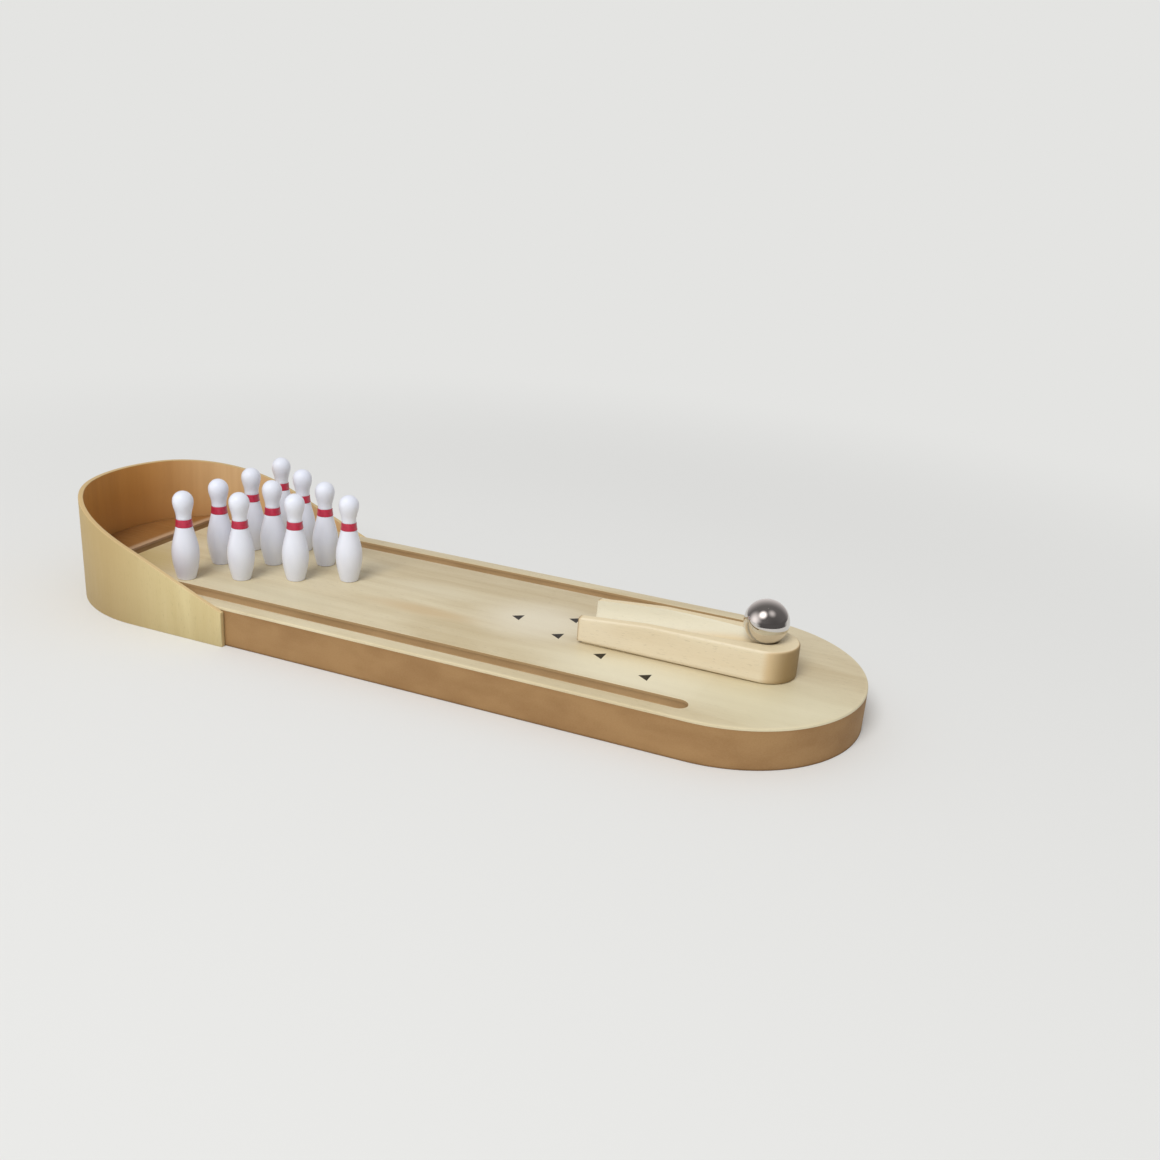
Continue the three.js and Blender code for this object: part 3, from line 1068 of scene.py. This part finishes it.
base = wood_finish(
    "plywood", (214, 198, 150), (190, 168, 116), strip_place, (0.13, 0.51, 0.0), 0.55, 0.7
)
up_grain, round_bend, ply_depth = add("SeparateXYZ", {0: strip_place()}).outputs
past_first = spread(ply_depth, 0.56 * MM, 0.64 * MM)
before_last = spread(ply_depth, 1.24 * MM, 1.16 * MM)
base = tint(product(past_first, before_last), base, (206, 180, 132))
from_back = maths("ABSOLUTE", round_bend)
# painted shade: the outer ply darkened round the bend
bend_shade = spread(from_back, 100 * MM, 62 * MM, 0.0, 0.78)
base = tint(bend_shade, base, (179, 152, 103))
streaks = noise(strip_place(), (9, 120, 120), 3.0, 0.6)
# painted shade: the inner face browner towards the back of the bend, paler towards the far arm
shade_fades_to_far_arm = spread(round_bend, 4 * MM, 62 * MM)
inner_ply_and_shade = tint(shade_fades_to_far_arm, (198, 140, 72), (222, 188, 142))
streaks = spread(streaks, 0.3, 0.7, 0.0, 0.25)
inner_ply_and_shade = tint(streaks, inner_ply_and_shade, (164, 112, 58))
# painted light: the inner face lighter low down, against the shade between catch and strip
painted_light_low_down = spread(up_grain, 30 * MM, 15 * MM, 0.0, 0.3)
inner_ply_and_shade = tint(painted_light_low_down, inner_ply_and_shade, (226, 176, 112))
base = tint(spread(ply_depth, 0.05 * MM, 0.0), base, inner_ply_and_shade)
top_edge = spread(own_facing(2), 0.45, 0.9, 0.0, 0.35)
base = tint(top_edge, base, (234, 202, 154))
put_on(strip, base)

# %% [markdown]
# ## White and crimson paint
# The pins are dipped in white paint: a clear coat over a soft body, with faint waves. Ten pins of
# one white would look copied, so each object's random number shifts it a little. The band is the
# same paint in crimson, with finer brush waves.

# %% Finish the pins and their bands
finish("white_paint", Coat_Weight=0.35, Coat_Roughness=0.18, Specular_IOR_Level=0.4)
place = own_place()
waves = noise(place, (160, 160, 90), 2.0)
specks = noise(place, (1400, 1400, 1400), 2.0)
one_pin = add("ObjectInfo").outputs["Random"]
white = tint(spread(waves, 0.3, 0.7), (233, 236, 247), (225, 229, 243))
white = tint(product(one_pin, 0.5), white, (229, 232, 240))
gloss = spread(specks, 0.3, 0.7, 0.28, 0.38)
relief(sum_of((waves, 1.0), (specks, 0.03)), 0.05)
put_on(pins[0], white, gloss)

finish("crimson_paint", Coat_Weight=0.4, Coat_Roughness=0.1)
waves = noise(own_place(), (300, 300, 500), 3.0)
red = tint(spread(waves, 0.3, 0.7), (194, 42, 72), (172, 28, 58))
gloss = spread(waves, 0.3, 0.7, 0.28, 0.38)
relief(waves, 0.03)
put_on(bands[0], red, gloss)

# %% [markdown]
# ## Polished steel
# Fine wiping marks on polished steel only show in its gloss. A bump would break up the reflections,
# so marks and haze only change the roughness a little, and the haze the colour.

# %% Finish the ball
finish("polished_steel", Metallic=1.0)
place = own_place()
wipes = noise(place, (900, 260, 2400), 4.0, 0.65)
haze = noise(place, (110, 110, 110), 2.0)
steel = tint(spread(haze, 0.3, 0.7), (224, 219, 213), (212, 207, 202))
wiped, dulled = spread(wipes, 0.45, 0.75), spread(haze, 0.3, 0.7, 0.5, 1.0)
gloss = sum_of((wiped, 0.07), (dulled, 0.06))
put_on(ball, steel, gloss)

# %% [markdown]
# ## The floor
# The game stands on a pale floor. A large plane shows a horizon and darkens far out, so this one
# takes the shadow near the middle and fades into a glow of the background's colour.

# %% Lay the floor
background = colour(228, 228, 226)
outline = arc(0, 0, 4000, 0, 360, 64)[:-1]
floor = piece_of("floor", [(x, y, -0.05) for x, y in outline], [tuple(range(64))])
floor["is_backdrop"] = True
finish("pale_floor", Roughness=0.9, Specular_IOR_Level=0.1, Base_Color=background)
far_out = spread(vector_maths("LENGTH", own_place()), 0.2, 0.55)
glow = add("Emission", {"Color": background, "Strength": 1.0}).outputs[0]
surface = add("MixShader", {0: far_out, 1: shader.outputs[0], 2: glow}).outputs[0]
tree.links.new(surface, tree.nodes["Material Output"].inputs["Surface"])
floor.data.materials.append(material)
print("floor of", len(outline), "corners")

# %% [markdown]
# ## The room and its lamp
# A bright room fills the shadows. A studio image would colour the wood, so the world is plain white
# and shows the background past the floor. A sun would do for the soft light from the front, but a
# large lamp is easier to picture. Both add up to a little over 1 on a level surface, so a colour
# renders about as written.

# %% Light the room
lamp_share, world_share = 0.54, 0.49
world = bpy.data.worlds.new("studio")
bpy.context.scene.world = world
world.use_nodes = True
tree = world.node_tree
tree.nodes.clear()
ray = add("LightPath").outputs
seen = maths("MAXIMUM", ray["Is Camera Ray"], ray["Is Glossy Ray"])
seen = maths("MAXIMUM", seen, ray["Is Transmission Ray"])
fill = add("Background", {"Color": (1, 1, 1, 1), "Strength": world_share}).outputs[0]
shown = add("Background", {"Color": background, "Strength": 1.0}).outputs[0]
mixed = add("MixShader", {0: seen, 1: fill, 2: shown}).outputs[0]
tree.links.new(mixed, add("OutputWorld").inputs["Surface"])


def towards(azimuth, elevation):
    """A direction from the board. Azimuth 0 is in front of it, and 90 at the player's end."""
    a, e = math.radians(azimuth), math.radians(elevation)
    return Vector((math.sin(a) * math.cos(e), -math.cos(a) * math.cos(e), math.sin(e)))


lamp_height, lamp_away, lamp_size = 50, 3.0, 1.6  # degrees and metres
from_lamp = towards(-3, lamp_height)
light = bpy.data.lights.new("front_lamp", "AREA")
light.shape = "DISK"
light.size = lamp_size
light.energy = lamp_share * (math.pi * lamp_away) ** 2 / math.sin(math.radians(lamp_height))
lamp = bpy.data.objects.new("front_lamp", light)
bpy.context.scene.collection.objects.link(lamp)
lamp.location = from_lamp * lamp_away
lamp.rotation_euler = from_lamp.to_track_quat("Z", "Y").to_euler()
lamp.visible_glossy = False
print("front_lamp", round(light.energy, 1), "watts")

# %% [markdown]
# ## A tent for the reflections
# Polished steel in a plain white room looks like chalk, so photographers put it in a dark tent with
# bright windows. This one is a grey dome with two soft windows, a light side and an open back, each
# a soft spot in one sum.


# %% The tent's brightness
windows = (((-23, 48, 26), 2.6), ((52, 60, 24), 0.6), ((-54, 10, 44), 1.15))
open_back, darker_end = (195, 5, 75), (50, 5, 80)


def nearness(direction, azimuth, elevation, width):
    """1 in this direction, falling softly to 0 at so many degrees from it."""
    share = max(0.0, 1 - math.degrees(direction.angle(towards(azimuth, elevation))) / width)
    return share**2 * (3 - 2 * share)


def tent_glow(azimuth, elevation):
    """The tent's brightness in a direction, as the ball sees it."""
    direction = towards(azimuth, elevation)
    glow = 0.16 - 0.07 * nearness(direction, *darker_end) + 0.6 * nearness(direction, *open_back)
    for window, strength in windows:
        glow += strength * nearness(direction, *window)
    return glow


print("brightest window", round(tent_glow(*windows[0][0][:2]), 2), "of white")

# %% [markdown]
# ## Putting up the tent
# Lamps would light the board as well, so these sheets are seen by reflections only, with brightness
# and fading stored at their points. A dark screen beyond the board keeps the bright floor out of
# the ball. It fades out towards its edges, which would show in the steel.


# %% Put up the tent and the screen
def reflected_sheet(name, rows, azimuths, place_at, round_about):
    """A sheet of points round the ball. place_at gives a point, its brightness and its cover."""
    spots = [place_at(azimuth, row) for row in rows for azimuth in azimuths]
    points, glow, cover = zip(*spots)
    sheet = piece_of(name, points, skin(len(rows), len(azimuths), round_about))
    finish(name)
    for label, values in (("glow", glow), ("cover", cover)):
        stored = sheet.data.attributes.new(label, "FLOAT", "POINT")
        stored.data.foreach_set("value", np.array(values, np.float32))
    brightness = add("Attribute", attribute_name="glow").outputs["Fac"]
    lit = {"Color": (1.0, 0.95, 0.96, 1.0), "Strength": brightness}
    light = add("Emission", lit).outputs[0]
    opaque = add("Attribute", attribute_name="cover").outputs["Fac"]
    clear = add("BsdfTransparent").outputs[0]
    surface = add("MixShader", {0: opaque, 1: clear, 2: light}).outputs[0]
    tree.links.new(surface, tree.nodes["Material Output"].inputs["Surface"])
    material.cycles.emission_sampling = "NONE"
    sheet.data.materials.append(material)
    sheet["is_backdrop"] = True
    sheet.visible_camera = sheet.visible_diffuse = False
    sheet.visible_shadow = sheet.visible_transmission = False
    print(name, len(points), "points")


dome_radius = 1100


def dome_at(azimuth, elevation):
    """A point of the dome round the ball."""
    spot = Vector(ball_middle) + dome_radius * towards(azimuth, elevation)
    return spot, tent_glow(azimuth, elevation), 1.0


reflected_sheet("tent_dome", np.linspace(-3, 89, 24), range(0, 360, 4), dome_at, True)
screen_away, screen_top, top_fade = 130, 62, 26
screen_from, screen_to, end_fade = -38, 128, 22  # degrees


def screen_at(azimuth, height):
    """A point of the low screen."""
    away = screen_away * towards(azimuth, 0)
    from_end = min(azimuth - screen_from, screen_to - azimuth) / end_fade
    cover = min(1.0, from_end) * min(1.0, (screen_top - height) / top_fade)
    return (ball_middle[0] + away.x, ball_middle[1] + away.y, height), 0.1, cover


screen_rows = (0.5, 20, 36, 45, 54, screen_top)
reflected_sheet("tent_screen", screen_rows, range(screen_from, 130, 4), screen_at, False)

# %% [markdown]
# ## Colours as written
# The Standard view shows a colour as written, where a filmic view would grey the white pins. The
# last lines note the box before and after dressing.

# %% Set the view and note the boxes
bpy.context.scene.view_settings.view_transform = "Standard"
dressed_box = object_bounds()
for title, box in (("CAD box", cad_box), ("visual box", dressed_box)):
    print(title, [[round(value, 4) for value in corner] for corner in box])
